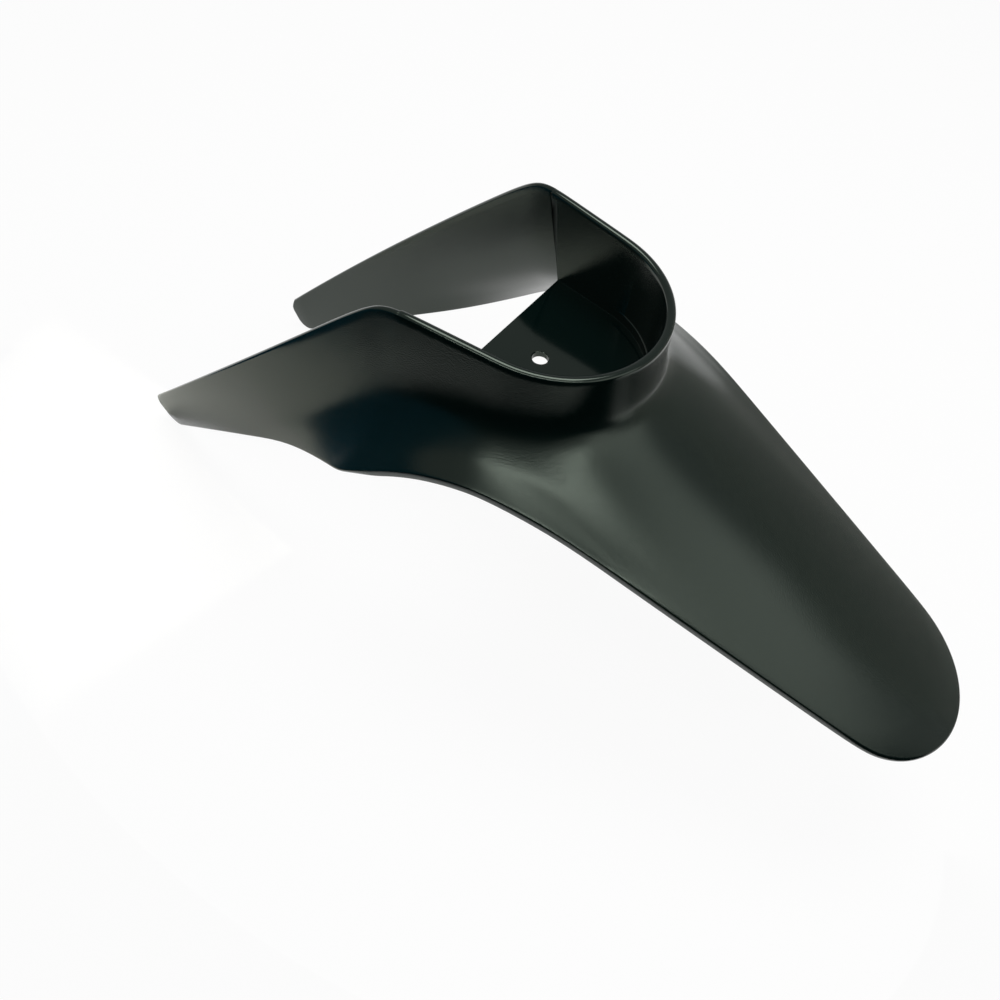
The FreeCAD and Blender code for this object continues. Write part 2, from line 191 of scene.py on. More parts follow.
def front_columns():
    """Columns round the collar's front: arcs of equal turn, fanned out to the tip and the edge."""
    turn = np.linspace(0, math.pi / 2 - taper, TIP_COLUMNS + EDGE_COLUMNS + 1)
    out = np.stack([np.cos(turn), np.sin(turn)], 1)
    foot = mm.collar_radius * out + (mm.collar_centre, 0)
    swing = np.linspace(0, math.pi / 2 - edge_angle, TIP_COLUMNS + 1)
    tip = mm.tip_radius * np.stack([np.cos(swing), np.sin(swing)], 1) + (tip_centre, 0)
    along = np.linspace(edge_x, side_edge_x, EDGE_COLUMNS + 1)[1:]
    end = np.concatenate([tip, np.stack([along, edge_half(along)], 1)])
    return wall_columns(foot, out, end)


def side_columns():
    """Columns down the collar's tapered side, in equal steps from its front to the peak."""
    share = np.arange(1, SIDE_COLUMNS + 1) / SIDE_COLUMNS
    x = side_x - (side_x + mm.peak_back) * share
    foot = np.stack([x, side_y + math.tan(taper) * (side_x - x)], 1)
    out = np.tile((math.sin(taper), math.cos(taper)), (SIDE_COLUMNS, 1))
    x = side_edge_x - (side_edge_x + mm.flare_back) * share
    return wall_columns(foot, out, np.stack([x, edge_half(x)], 1))


def wing_columns(first):
    """Columns of the wing: chords from upper to lower edge, plus the first one's fading bulge."""
    shares = np.sqrt(np.linspace(0, 1, len(first)))[:, None]
    bulge = first - (first[0] + (first[-1] - first[0]) * shares)
    along = (1 + END_SPARE) * (np.arange(1, WING_COLUMNS + 1) / WING_COLUMNS) ** WING_POWER
    hump = 4 * along * (1 - along)
    high_x = -mm.peak_back - (mm.wing_back - mm.peak_back) * along
    high_y = first[0, 1] + (mm.wing_half - first[0, 1]) * along + mm.wing_bow * hump
    high_z = peak_z - (peak_z + mm.wing_drop) * along + mm.wing_arch * hump - peak_loss(high_x)
    low_x = -mm.flare_back - (mm.low_back - mm.flare_back) * along
    fade = np.maximum(0, 1 - (-mm.flare_back - low_x) / mm.flare_run) ** FADE_POWER
    low_y = mm.low_half + mm.low_spread * (1 - along)
    low_y = low_y + (mm.flare_half - mm.low_half - mm.low_spread) * fade
    upper = np.stack([high_x, high_y, high_z], 1)[:, None]
    lower = np.stack([low_x, low_y, edge_z(low_x)], 1)[:, None]
    return upper + (lower - upper) * shares + bulge * fade[:, None, None]


def skin_poles():
    """All poles of the outer skin, from the end of one wing round the front to the other's."""
    half = np.concatenate([front_columns(), side_columns()])
    half = np.concatenate([half, wing_columns(half[-1])])
    return np.concatenate([half[:0:-1] * (1, -1, 1), half])


POLES = skin_poles()


def spline_basis(count, at, degree=3):
    """Each clamped cubic B-spline basis function at each parameter, by the Cox-de Boor rule."""
    inner = np.linspace(0, 1, count - degree + 1)
    knots = np.concatenate([np.zeros(degree), inner, np.ones(degree)])
    at = np.clip(at, 0, LAST_PLACE)[:, None]
    basis = ((at >= knots[:-1]) & (at < knots[1:])).astype(float)
    for k in range(1, degree + 1):
        width = knots[k:] - knots[:-k]
        inverse = np.where(width > 0, 1 / np.where(width > 0, width, 1), 0)
        rise = (at - knots[:-k - 1]) * inverse[:-1] * basis[:, :-1]
        fall = (knots[k + 1:] - at) * inverse[1:] * basis[:, 1:]
        basis = rise + fall
    return basis


def skin_point(u, v):
    """Points of the outer skin: poles weighed by their basis functions at u and v."""
    shape = u.shape
    columns, rows = POLES.shape[:2]
    along = spline_basis(columns, u.ravel()) @ POLES.reshape(columns, -1)
    across = spline_basis(rows, v.ravel())
    return np.einsum("nr,nrk->nk", across, along.reshape(-1, rows, 3)).reshape(*shape, 3)


def skin_normal(u, v, step=1e-5):
    """Unit normals of the outer skin: the cross product of its two central differences."""
    along = skin_point(u + step, v) - skin_point(u - step, v)
    across = skin_point(u, v + step) - skin_point(u, v - step)
    normal = np.cross(across, along)
    return normal / np.linalg.norm(normal, axis=-1, keepdims=True)


# How finely the skin is divided along the U, from rim to free edge, and round its borders
ALONG_STEPS = 340
ACROSS_STEPS = 64
NOSE_STEPS = 10
# Extra columns beside each seam, how far they reach, and the part of u in which columns follow it
SEAM_STEPS = 36
SEAM_REACH = 1.5
SEAM_WINDOW = 0.05
# The part of u over which a wing's columns are drawn in to its end
WING_ZONE = 0.2
# Steps in which the wing's end and the seam are looked for, and a small step of u
END_SEARCH = 400
SEAM_SEARCH = 2000
NUDGE = 0.0005
# Columns that agree to this many digits of u are one
U_DIGITS = 6


def wing_end(v):
    """Parameter u at which the first wing ends, for each v.

    Seen from the side the end is a straight line with two round corners, so each row stops where
    its distance from that line is the corner's rise at its place along the line.
    """
    upper = np.array([-mm.wing_back, -mm.wing_drop])
    lower = np.array([-mm.low_back, -mm.low_drop])
    depth = np.linalg.norm(lower - upper)
    down = (lower - upper) / depth
    back = np.array([down[1], -down[0]])
    u = np.linspace(0, WING_ZONE, END_SEARCH)
    grid_u, grid_v = np.meshgrid(u, v, indexing="ij")
    side = skin_point(grid_u, grid_v)[..., ::2] - upper
    beyond = side @ back
    place = np.clip(side @ down, 0, depth)
    high = np.clip(mm.upper_round - place, 0, None)
    low = np.clip(mm.lower_round - (depth - place), 0, None)
    rise = mm.upper_round - np.sqrt(mm.upper_round ** 2 - high ** 2)
    rise += mm.lower_round - np.sqrt(mm.lower_round ** 2 - low ** 2)
    over = beyond + mm.edge_round + rise
    return np.array([np.interp(0, -over[:, row], u) for row in range(len(v))])


def seam_x(z):
    """The lining's rear end at each height: it leans back evenly from the floor to the rim."""
    return -mm.floor_back - mm.seam_lean * np.clip(z / peak_z, 0, 1)


def seam_line(v):
    """Parameter u of the first seam for each v, where x is the seam's x at the point's height.

    Below the collar's floor it stays as it is at the floor.
    """
    u = np.linspace(0, 0.5, SEAM_SEARCH)
    grid_u, grid_v = np.meshgrid(u, v, indexing="ij")
    point = skin_point(grid_u, grid_v)
    ahead = point[..., 0] - seam_x(point[..., 2])
    line = np.array([np.interp(0, ahead[:, row], u) for row in range(len(v))])
    height = np.array([np.interp(line[row], u, point[:, row, 2]) for row in range(len(v))])
    last = np.argmax(height < 0)
    return line[np.minimum(np.arange(len(v)), last)]


def skin_parameters():
    """The grid of u and v: even steps with more of them beside the seams, drawn to seams and ends.

    Near a seam each row is moved along by the seam's lean, fading out to both sides, so that the
    columns run along it. Towards a wing's end each row is drawn in to where the end cuts it.
    """
    v = np.linspace(0, 1, ACROSS_STEPS + 1)
    u = np.linspace(0, 1, ALONG_STEPS + 1)
    line = seam_line(v)
    apart = skin_point(line[:1] + NUDGE, v[:1]) - skin_point(line[:1] - NUDGE, v[:1])
    per_length = 2 * NUDGE / np.linalg.norm(apart)
    beside = line[0] + np.linspace(-SEAM_REACH, SEAM_REACH, SEAM_STEPS + 1) * per_length
    u = np.unique(np.round(np.concatenate([u, beside, 1 - beside]), U_DIGITS))
    grid_u, grid_v = np.meshgrid(u, v, indexing="ij")
    lean = (line - line[0])[None]
    first_seam = ease(1 - np.abs(grid_u - line[0]) / SEAM_WINDOW)
    last_seam = ease(1 - np.abs(1 - grid_u - line[0]) / SEAM_WINDOW)
    end = wing_end(v)[None]
    first = np.clip((WING_ZONE - grid_u) / WING_ZONE, 0, 1)
    last = np.clip((WING_ZONE - 1 + grid_u) / WING_ZONE, 0, 1)
    return grid_u + lean * (first_seam - last_seam) + end * (first - last), grid_v


# Width of the step at the seam, and the heights between which the lining thickens the wall
SEAM_WIDTH = 0.4
LINING_FROM = 12.0
LINING_FADE = 4.0
# The groove behind the seam: its width at the rim and at the floor, its depth and its fade
GROOVE_TOP = 1.25
GROOVE_FOOT = 1.65
GROOVE_DEPTH = 1.4
GROOVE_FADE = 3.0
# The free edge is cut straight down from this share of the skin's width, from the flare forward
CUT_FROM = 0.85
CUT_RUN = 20.0
LEAST_SLOPE = 0.7


def groove_share(x, z):
    """How far into the groove a place of the inner face is: 1 at its middle, 0 at both edges.

    The groove begins at the seam and widens evenly towards the floor.
    """
    half = (GROOVE_FOOT - (GROOVE_FOOT - GROOVE_TOP) * np.clip(z / peak_z, 0, 1)) / 2
    share = 1 - np.abs(seam_x(z) - half - x) / half
    return np.maximum(share, 0) * (z > 0) * ease((top_line(x) - z) / GROOVE_FADE)


def inner_skin(outer, normal, v):
    """The inner face: the outer one moved in by the wall.

    Ahead of the seam the collar is thicker, with a narrow smooth step at the seam and a groove
    behind it, and towards the tongue's free edge the wall is cut straight down instead of square
    to the skin.
    """
    x, _, z = np.moveaxis(outer - normal * mm.skin_wall, -1, 0)
    ahead = ease((x - seam_x(z)) / SEAM_WIDTH + 0.5)
    lined = ahead * ease((z - LINING_FROM) / LINING_FADE)
    groove = GROOVE_DEPTH * ease(groove_share(x, z)) * ease(z)
    wall = mm.skin_wall + (mm.rim_wall - mm.skin_wall) * lined - groove
    move = -normal * wall[..., None]
    straight = np.zeros_like(move)
    straight[..., 2] = -mm.skin_wall / np.maximum(LEAST_SLOPE, np.abs(normal[..., 2]))
    cut = ease((v - CUT_FROM) / (1 - CUT_FROM)) * ease((outer[..., 0] + mm.flare_back) / CUT_RUN)
    return outer + move + (straight - move) * cut[..., None]


def border(grid):
    """The rim of a grid as one closed loop of its entries."""
    return np.concatenate([grid[:-1, 0], grid[-1, :-1], grid[:0:-1, -1], grid[0, :0:-1]])


# Powers of the superellipses that round the skin's borders, at the rim and at the free edge
RIM_POWER = 2.0
EDGE_POWER = 2.6


def rounded_border(outer, inner, normal, height, power):
    """Rows that close the loop between two faces: half a superellipse that stands out sideways.

    At each point of the loop the half superellipse runs from the outer to the inner face, as wide
    as the wall and as high as the edge's round.
    """
    along = np.roll(outer, -1, 0) - np.roll(outer, 1, 0)
    lead = np.cross(normal, along)
    lead /= np.linalg.norm(lead, axis=1, keepdims=True)
    turn = np.linspace(0, math.pi, NOSE_STEPS + 1)[1:-1, None]
    across = np.sign(np.cos(turn)) * np.abs(np.cos(turn)) ** (2 / power)
    rise = np.sin(turn) ** (2 / power) * height
    middle, half = (outer + inner) / 2, (outer - inner) / 2
    return middle + across[..., None] * half + rise[..., None] * lead


def grid_faces(index, closed=(False, False)):
    """Quads between neighbours in a grid of vertex numbers, wrapped where a direction is closed."""
    for axis in (0, 1):
        if closed[axis]:
            index = np.concatenate([index, np.take(index, [0], axis)], axis)
    corners = index[:-1, :-1], index[1:, :-1], index[1:, 1:], index[:-1, 1:]
    return np.stack(corners, -1).reshape(-1, 4)


def new_piece(name, points, quads):
    """A mesh object at the origin from points in millimetres and quads, with faces outwards.

    The signed volume of the quads' two triangles each tells which way the faces point.
    """
    a, b, c, d = (points[quads[:, corner]] for corner in range(4))
    volume = np.einsum("nk,nk->", a, np.cross(b, c)) + np.einsum("nk,nk->", a, np.cross(c, d))
    if volume < 0:
        quads = quads[:, ::-1]
    mesh = bpy.data.meshes.new(name)
    mesh.from_pydata((points * MM).tolist(), [], quads.tolist())
    mesh.update()
    piece = bpy.data.objects.new(name, mesh)
    bpy.context.scene.collection.objects.link(piece)
    return piece


def closed_shell(name, outer, inner, rows=None):
    """One closed mesh: an outer grid, an inner grid, and any rows that join their borders."""
    size = outer.shape[0] * outer.shape[1]
    index = np.arange(size).reshape(outer.shape[:2])
    if rows is None:
        rows = np.zeros((0, len(border(index)), 3))
    row_index = 2 * size + np.arange(rows.shape[0] * rows.shape[1]).reshape(rows.shape[:2])
    bands = np.concatenate([border(index)[None], row_index, border(index + size)[None]])
    quads = np.concatenate([grid_faces(index), grid_faces(index + size)[:, ::-1],
                            grid_faces(bands, (False, True))])
    points = np.concatenate([outer.reshape(-1, 3), inner.reshape(-1, 3), rows.reshape(-1, 3)])
    return new_piece(name, points, quads)


def make_skin():
    """The skin with its rounded rim, free edge and wing ends, as one closed shell."""
    u, v = skin_parameters()
    outer = skin_point(u, v)
    normal = skin_normal(u, v)
    inner = inner_skin(outer, normal, v)
    height = mm.rim_round + (mm.edge_round - mm.rim_round) * border(v)
    power = RIM_POWER + (EDGE_POWER - RIM_POWER) * border(v)
    rows = rounded_border(border(outer), border(inner), border(normal), height, power)
    return closed_shell("mudguard_shell", outer, inner, rows)


# How finely the collar's lining and floor are divided
ARC_STEPS = 90
SIDE_STEPS = 12
ROUND_STEPS = 8
REAR_STEPS = 24
RAY_SHARES = np.linspace(0.1, 0.9, 9)
# The lining stands out of the skin's wall by a hair and slips into it this far under the rim
HAIR = 0.03
LINING_END = 1.5
LINING_SLIP = 6.0
# Small rounds on the floor's lower corners and at the bolt's hole, and in the pocket's corner,
# which shows sharper than the solid's
FLOOR_BREAK = 0.4
POCKET_CORNER = 0.15
# A fine bead left by the mould round the front of the pocket: its height above the floor, half
# its width, how far it stands out and how many points of the path it takes to fade in
BEAD_HEIGHT = 4.0
BEAD_HALF = 0.45
BEAD_OUT = 0.35
BEAD_FADE = 10


def collar_path(inset, rear, height):
    """The collar in plan, moved in, for a row of insets: a tapered side, the round, a side.

    The sides are straight from their rear end to where they touch the round front.
    """
    radius = mm.collar_radius - inset
    turn = np.linspace(math.pi / 2 - taper, taper - math.pi / 2, ARC_STEPS + 1)[:, None]
    arc_x = mm.collar_centre + radius * np.cos(turn)
    arc_y = radius * np.sin(turn)
    share = np.linspace(0, 1, SIDE_STEPS + 1)[:-1, None]
    straight_x = rear + (arc_x[0] - rear) * share
    straight_y = arc_y[0] + math.tan(taper) * (arc_x[0] - straight_x)
    x = np.concatenate([straight_x, arc_x, straight_x[::-1]])
    y = np.concatenate([straight_y, arc_y, -straight_y[::-1]])
    return np.stack([x, y, np.broadcast_to(height, x.shape)], -1)


def make_lining():
    """The collar's inner wall: the U carried round with a section that flares into the floor.

    The inner side comes down straight, has a bead of half a cosine wave round the front and ends
    in a quarter circle. The outer side is straight with a small break at its foot, and both ends
    lean as the seam does.
    """
    turn = np.linspace(0, math.pi / 2, ROUND_STEPS + 1)
    foot_z = POCKET_CORNER * (1 - np.cos(turn)) - HAIR
    foot_inset = mm.rim_wall + HAIR + POCKET_CORNER * (1 - np.sin(turn))
    bottom = HAIR - mm.floor_wall
    top = peak_z - np.array([LINING_END + LINING_SLIP, LINING_END])
    wave = np.linspace(-1, 1, ROUND_STEPS + 1)
    height = np.concatenate([[bottom, bottom + FLOOR_BREAK], foot_z,
                             BEAD_HEIGHT + BEAD_HALF * wave, top])
    wall = np.full(len(wave) + 2, foot_inset[-1])
    wall[-1] = mm.rim_wall - HAIR
    inner = np.concatenate([foot_inset[[0, 0]], foot_inset, wall])
    bead = np.zeros_like(height)
    bead[2 + len(foot_z):-2] = BEAD_OUT * np.cos(wave * math.pi / 2)
    outer = np.full_like(height, mm.rim_wall - mm.lining_wall)
    outer[0] += FLOOR_BREAK
    rear = seam_x(height)
    outer_face, plain_face, bead_face = (collar_path(inset, rear, height)
                                         for inset in (outer, inner, inner + bead))
    place = np.arange(len(plain_face)) - SIDE_STEPS
    front = ease(np.minimum(place, ARC_STEPS - place) / BEAD_FADE)
    inner_face = plain_face + (bead_face - plain_face) * front[:, None, None]
    for face in (outer_face, inner_face):
        face[:, -2:, 2] += rim_z(face[:, -2:, 0]) - peak_z
    return closed_shell("collar_lining", outer_face, inner_face)


def make_floor():
    """The collar's floor: a slab with a round hole, its outline the lining's U and a rear edge.

    Each point of the outline is joined to the hole's edge on the ray from the bolt's axis, and
    the slab's section is carried round that ring of rays.
    """
    middle = np.array([mm.rim_wall - mm.lining_wall / 2])
    plan = collar_path(middle, np.array([-mm.floor_back]), np.zeros(1))[:, 0, :2]
    rear_y = np.linspace(plan[-1, 1], plan[0, 1], REAR_STEPS + 1)[1:-1]
    rear = np.stack([np.full_like(rear_y, -mm.floor_back), rear_y], 1)
    outline = np.concatenate([plan, rear])
    ray = outline / np.linalg.norm(outline, axis=1, keepdims=True)
    hole = ray * mm.bolt_hole / 2
    low, high = -mm.floor_wall, 0
    section = np.concatenate([
        [(0, 0, low + FLOOR_BREAK), (0, 0, high - FLOOR_BREAK), (0, FLOOR_BREAK, high)],
        np.stack([RAY_SHARES, 0 * RAY_SHARES, 0 * RAY_SHARES + high], 1),
        [(1, -FLOOR_BREAK, high), (1, 0, high - FLOOR_BREAK)],
        [(1, 0, low + FLOOR_BREAK), (1, -FLOOR_BREAK, low)],
        np.stack([RAY_SHARES[::-1], 0 * RAY_SHARES, 0 * RAY_SHARES + low], 1),
        [(0, FLOOR_BREAK, low)]])
    share, shift, height = section.T[:, None, :, None]
    plan = hole[:, None] + (outline - hole)[:, None] * share + ray[:, None] * shift
    height = np.broadcast_to(height, (*plan.shape[:2], 1))
    points = np.concatenate([plan, height], 2)
    index = np.arange(points.shape[0] * points.shape[1]).reshape(points.shape[:2])
    return new_piece("collar_floor", points.reshape(-1, 3), grid_faces(index, (True, True)))


# Edges sharper than this stay crisp, and all others are shaded smooth
SHARP_DEGREES = 38


def joined(piece, others):
    """The piece with the others merged into it as one closed mesh, and the others removed."""
    for other in others:
        union = piece.modifiers.new(other.name, "BOOLEAN")
        union.operation = "UNION"
        union.solver = "MANIFOLD"
        union.object = other
    graph = bpy.context.evaluated_depsgraph_get()
    mesh = bpy.data.meshes.new_from_object(piece.evaluated_get(graph))
    piece.modifiers.clear()
    piece.data = mesh
    for other in others:
        bpy.data.objects.remove(other)
    mesh.shade_smooth()
    mesh.set_sharp_from_angle(angle=math.radians(SHARP_DEGREES))
    return piece


# The floor is polished between these heights, inside the collar's wall, the trimmed face of the
# free edge begins a little outside the skin's outline, and the rim shines down to this depth
POLISH_LOW = -0.3
POLISH_HIGH = 0.3
TRIM_FROM = 0.5
TRIM_FADE = 0.25
SHINE_DEPTH = 1.2
# The painted shade in the seam's groove darkens over one part in this many of the groove's half
# width
GAP_SHADE_EDGE = 4


def mark_finishes(piece):
    """Point attributes for the finish: polished faces, the trimmed edge (rough, and painted paler
    as a highlight) and the painted shade in the seam's groove.

    The floor's points are those of its height inside the collar's plan circle, and the rim's those
    near the upper border or above it. The trimmed points are those past the free edge in plan, by
    its half width or by the tip's circle. The points painted with shade are those in the groove
    that face inwards.
    """
    mesh = piece.data
    points = np.empty(len(mesh.vertices) * 3)
    mesh.vertices.foreach_get("co", points)
    x, y, z = points.reshape(-1, 3).T / MM
    inside = np.hypot(x - mm.collar_centre, y) < mm.collar_radius - mm.lining_wall
    floor = inside & (z > POLISH_LOW) & (z < POLISH_HIGH)
    rim = ease((z - top_line(x) + SHINE_DEPTH) / SHINE_DEPTH)
    polish = np.maximum(floor, rim)
    past_side = np.abs(y) - edge_half(np.clip(x, -mm.flare_back, edge_x))
    past_tip = np.hypot(x - tip_centre, y) - mm.tip_radius
    past = np.where(x > edge_x, past_tip, past_side)
    trim = ease((past - TRIM_FROM) / TRIM_FADE) * (x > -mm.flare_back)
    normals = np.empty(len(mesh.vertices) * 3)
    mesh.vertex_normals.foreach_get("vector", normals)
    facing = normals.reshape(-1, 3)[:, 1] * y
    # Painted shade: the groove's inward faces are marked to be painted black
    gap_shade = ease(GAP_SHADE_EDGE * groove_share(x, z)) * (facing < 0)
    for name, mask in (("polish", polish), ("trim", trim), ("gap_shade", gap_shade)):
        attribute = mesh.attributes.new(name, "FLOAT", "POINT")
        attribute.data.foreach_set("value", mask)


def add_node(tree, kind, **values):
    """A new node with some of its settings and input values."""
    node = tree.nodes.new(kind)
    for name, value in values.items():
        if hasattr(node, name):
            setattr(node, name, value)
        else:
            node.inputs[name.replace("_", " ").title()].default_value = value
    return node


def mixed(tree, factor, first, second, kind="FLOAT"):
    """A socket that goes from the first value or socket to the second one by a factor."""
    node = tree.nodes.new("ShaderNodeMix")
    node.data_type = kind
    sockets = [socket for socket in node.inputs if socket.enabled]
    for socket, value in zip(sockets, (factor, first, second)):
        if isinstance(value, bpy.types.NodeSocket):
            tree.links.new(value, socket)
        else:
            socket.default_value = value
    return next(socket for socket in node.outputs if socket.enabled)


# The plastic's colour, its cut edge painted pale grey as a highlight, the dust on it, the painted
# shade in the seam's groove, and the gloss
PLASTIC = (0.0007, 0.004, 0.0036, 1)
PAINTED_CUT_HIGHLIGHT = (0.19, 0.195, 0.19, 1)
DUST = (0.22, 0.23, 0.21, 1)
PAINTED_GAP_SHADE = (0.001, 0.001, 0.001, 1)
GLOSS = 0.5
GLOSS_TINT = (0.85, 1, 0.84, 1)
# Roughness of the satin skin where it is rubbed and where it isn't, of the polished floor and rim,
# of the cut edge and of the painted shade in the seam's groove
SATIN_RUBBED = 0.18
SATIN = 0.25
POLISHED = 0.1
CUT = 0.5
PAINTED_GAP_ROUGHNESS = 1.0
# Sizes of the patterns, in features per metre, their levels of detail and the grain's height
RUB_SCALE = 30
RUB_DETAIL = 3
GRAIN_SCALE = 1800
GRAIN_DETAIL = 2
GRAIN_HEIGHT = 0.00004
# Dust lies on the cells whose random value is over this share, within this part of a cell's size
DUST_SCALE = 400
DUST_SHARE = 0.97
DUST_RADIUS = 0.13


def black_plastic():
    """Satin black plastic with a fine moulded grain, rubbed patches, dust and a cut edge painted
    paler as a highlight.

    The grain is a noise bump, the rubbed patches a slow noise on the roughness, and the dust small
    balls round a few of a cell pattern's points. The floor and the rim are polished, with no grain,
    and the seam's groove is painted black, fully rough and without gloss, as painted shade.
    """
    material = bpy.data.materials.new("satin_black_plastic")
    material.use_nodes = True
    tree = material.node_tree
    shader = tree.nodes["Principled BSDF"]
    shader.inputs["Specular Tint"].default_value = GLOSS_TINT
    place = tree.nodes.new("ShaderNodeTexCoord").outputs["Object"]
    polish = add_node(tree, "ShaderNodeAttribute", attribute_name="polish").outputs["Fac"]
    trim = add_node(tree, "ShaderNodeAttribute", attribute_name="trim").outputs["Fac"]
    # The mask of the painted shade in the seam's groove
    gap_shade = add_node(tree, "ShaderNodeAttribute", attribute_name="gap_shade").outputs["Fac"]
    rub = add_node(tree, "ShaderNodeTexNoise", scale=RUB_SCALE, detail=RUB_DETAIL)
    grain = add_node(tree, "ShaderNodeTexNoise", scale=GRAIN_SCALE, detail=GRAIN_DETAIL)
    cells = add_node(tree, "ShaderNodeTexVoronoi", scale=DUST_SCALE)
    for pattern in (rub, grain, cells):
        tree.links.new(place, pattern.inputs["Vector"])
    near = add_node(tree, "ShaderNodeMath", operation="LESS_THAN")
    near.inputs[1].default_value = DUST_RADIUS
    tree.links.new(cells.outputs["Distance"], near.inputs[0])
    few = add_node(tree, "ShaderNodeMath", operation="GREATER_THAN")
    few.inputs[1].default_value = DUST_SHARE
    tree.links.new(cells.outputs["Color"], few.inputs[0])
    dust = add_node(tree, "ShaderNodeMath", operation="MULTIPLY")
    tree.links.new(near.outputs[0], dust.inputs[0])
    tree.links.new(few.outputs[0], dust.inputs[1])
    # Painted highlight: the trimmed edge is painted pale grey to stand in for its reflection of the
    # bright floor
    colour = mixed(tree, trim, PLASTIC, PAINTED_CUT_HIGHLIGHT, "RGBA")
    colour = mixed(tree, dust.outputs[0], colour, DUST, "RGBA")
    # Painted shade: the seam's groove is painted black
    colour = mixed(tree, gap_shade, colour, PAINTED_GAP_SHADE, "RGBA")
    tree.links.new(colour, shader.inputs["Base Color"])
    rough = mixed(tree, rub.outputs["Fac"], SATIN_RUBBED, SATIN)
    rough = mixed(tree, polish, rough, POLISHED)
    rough = mixed(tree, trim, rough, CUT)
    # Painted shade: the groove is made fully rough and has its gloss taken away
    rough = mixed(tree, gap_shade, rough, PAINTED_GAP_ROUGHNESS)
    tree.links.new(mixed(tree, gap_shade, GLOSS, 0.0), shader.inputs["Specular IOR Level"])
    tree.links.new(rough, shader.inputs["Roughness"])
    bump = add_node(tree, "ShaderNodeBump", distance=GRAIN_HEIGHT)
    tree.links.new(grain.outputs["Fac"], bump.inputs["Height"])
    tree.links.new(mixed(tree, polish, 1.0, 0.0), bump.inputs["Strength"])
    tree.links.new(bump.outputs["Normal"], shader.inputs["Normal"])
    return material


CAMERA_AZIMUTH = 29.803
CAMERA_ELEVATION = 54.955
CAMERA_ROLL = 7.457
CAMERA_PLACE = Vector((0.0992, -0.1901, 0.2056))
CAMERA_LENS = 26.784
CAMERA_NEAR = 0.01
SENSOR = 36


def make_camera():
    """The photograph's camera: turned about the bolt's axis, raised, rolled and set in place."""
    azimuth, elevation, roll = (math.radians(angle) for angle in
                                (CAMERA_AZIMUTH, CAMERA_ELEVATION, CAMERA_ROLL))
    turned = Matrix.Rotation(azimuth, 4, "Z") @ Matrix.Rotation(math.pi / 2 - elevation, 4, "X")
    data = bpy.data.cameras.new("camera")
    data.lens = CAMERA_LENS
    data.sensor_width = SENSOR
    data.clip_start = CAMERA_NEAR
    camera = bpy.data.objects.new("camera", data)
    camera.matrix_world = Matrix.Translation(CAMERA_PLACE) @ turned @ Matrix.Rotation(roll, 4, "Z")
    bpy.context.scene.collection.objects.link(camera)
    bpy.context.scene.camera = camera


def seen_ray(tree):
    """A socket that is 1 for rays from the camera, off gloss and through glass, and else 0."""
    path = tree.nodes.new("ShaderNodeLightPath")
    seen = path.outputs["Is Camera Ray"]
    for kind in ("Is Glossy Ray", "Is Transmission Ray"):
        either = tree.nodes.new("ShaderNodeMath")
        either.operation = "MAXIMUM"
        tree.links.new(seen, either.inputs[0])
        tree.links.new(path.outputs[kind], either.inputs[1])
        seen = either.outputs[0]
    return seen


# The studio: how bright the backdrop looks at the horizon and high up, and how much it lights
BACKDROP_LOW = 1.0
BACKDROP_HIGH = 0.38
BACKDROP_RISE = 0.15
BACKDROP_LIGHT = 0.3


def make_world():
    """A backdrop that goes from white at the horizon to pale grey, and lights the part plainly."""
    world = bpy.data.worlds.new("studio")
    bpy.context.scene.world = world
    world.use_nodes = True
    tree = world.node_tree
    background = tree.nodes["Background"]
    background.inputs["Color"].default_value = (1, 1, 1, 1)
    place = tree.nodes.new("ShaderNodeTexCoord")
    split = tree.nodes.new("ShaderNodeSeparateXYZ")
    tree.links.new(place.outputs["Generated"], split.inputs[0])
    look = tree.nodes.new("ShaderNodeMapRange")
    look.interpolation_type = "SMOOTHSTEP"
    look.inputs["From Max"].default_value = BACKDROP_RISE
    look.inputs["To Min"].default_value = BACKDROP_LOW
    look.inputs["To Max"].default_value = BACKDROP_HIGH
    tree.links.new(split.outputs["Z"], look.inputs["Value"])
    level = tree.nodes.new("ShaderNodeMix")
    level.inputs["A"].default_value = BACKDROP_LIGHT
    tree.links.new(seen_ray(tree), level.inputs["Factor"])
    tree.links.new(look.outputs["Result"], level.inputs["B"])
    tree.links.new(level.outputs["Result"], background.inputs["Strength"])


# The floor shows this share of plain white and the rest as lit, so a faint shadow stays
FLOOR_WHITE = 0.93
FLOOR_PAINT = 0.85
FLOOR_HALF = 4.0
FLOOR_GAP = 0.0005


def make_floor_stage():
    """A plain white floor just under the part, white for the camera but for the part's shadow."""
    height = cad_box[0].z - FLOOR_GAP
    corners = np.array([(-1, -1), (1, -1), (1, 1), (-1, 1)]) * FLOOR_HALF
    mesh = bpy.data.meshes.new("studio_floor")
    mesh.from_pydata([(*corner, height) for corner in corners.tolist()], [], [(0, 1, 2, 3)])
    floor = bpy.data.objects.new("studio_floor", mesh)
    bpy.context.scene.collection.objects.link(floor)
    material = bpy.data.materials.new("white_floor")
    material.use_nodes = True
    tree = material.node_tree
    tree.nodes.clear()
    paint = tree.nodes.new("ShaderNodeBsdfDiffuse")
    paint.inputs["Color"].default_value = (FLOOR_PAINT, FLOOR_PAINT, FLOOR_PAINT, 1)
    glow = tree.nodes.new("ShaderNodeEmission")
    mix = tree.nodes.new("ShaderNodeMixShader")
    share = tree.nodes.new("ShaderNodeMath")
    share.operation = "MULTIPLY"
    share.inputs[1].default_value = FLOOR_WHITE
    output = tree.nodes.new("ShaderNodeOutputMaterial")
    tree.links.new(seen_ray(tree), share.inputs[0])
    tree.links.new(share.outputs[0], mix.inputs[0])
    tree.links.new(paint.outputs[0], mix.inputs[1])
    tree.links.new(glow.outputs[0], mix.inputs[2])
    tree.links.new(mix.outputs[0], output.inputs["Surface"])
    mesh.materials.append(material)


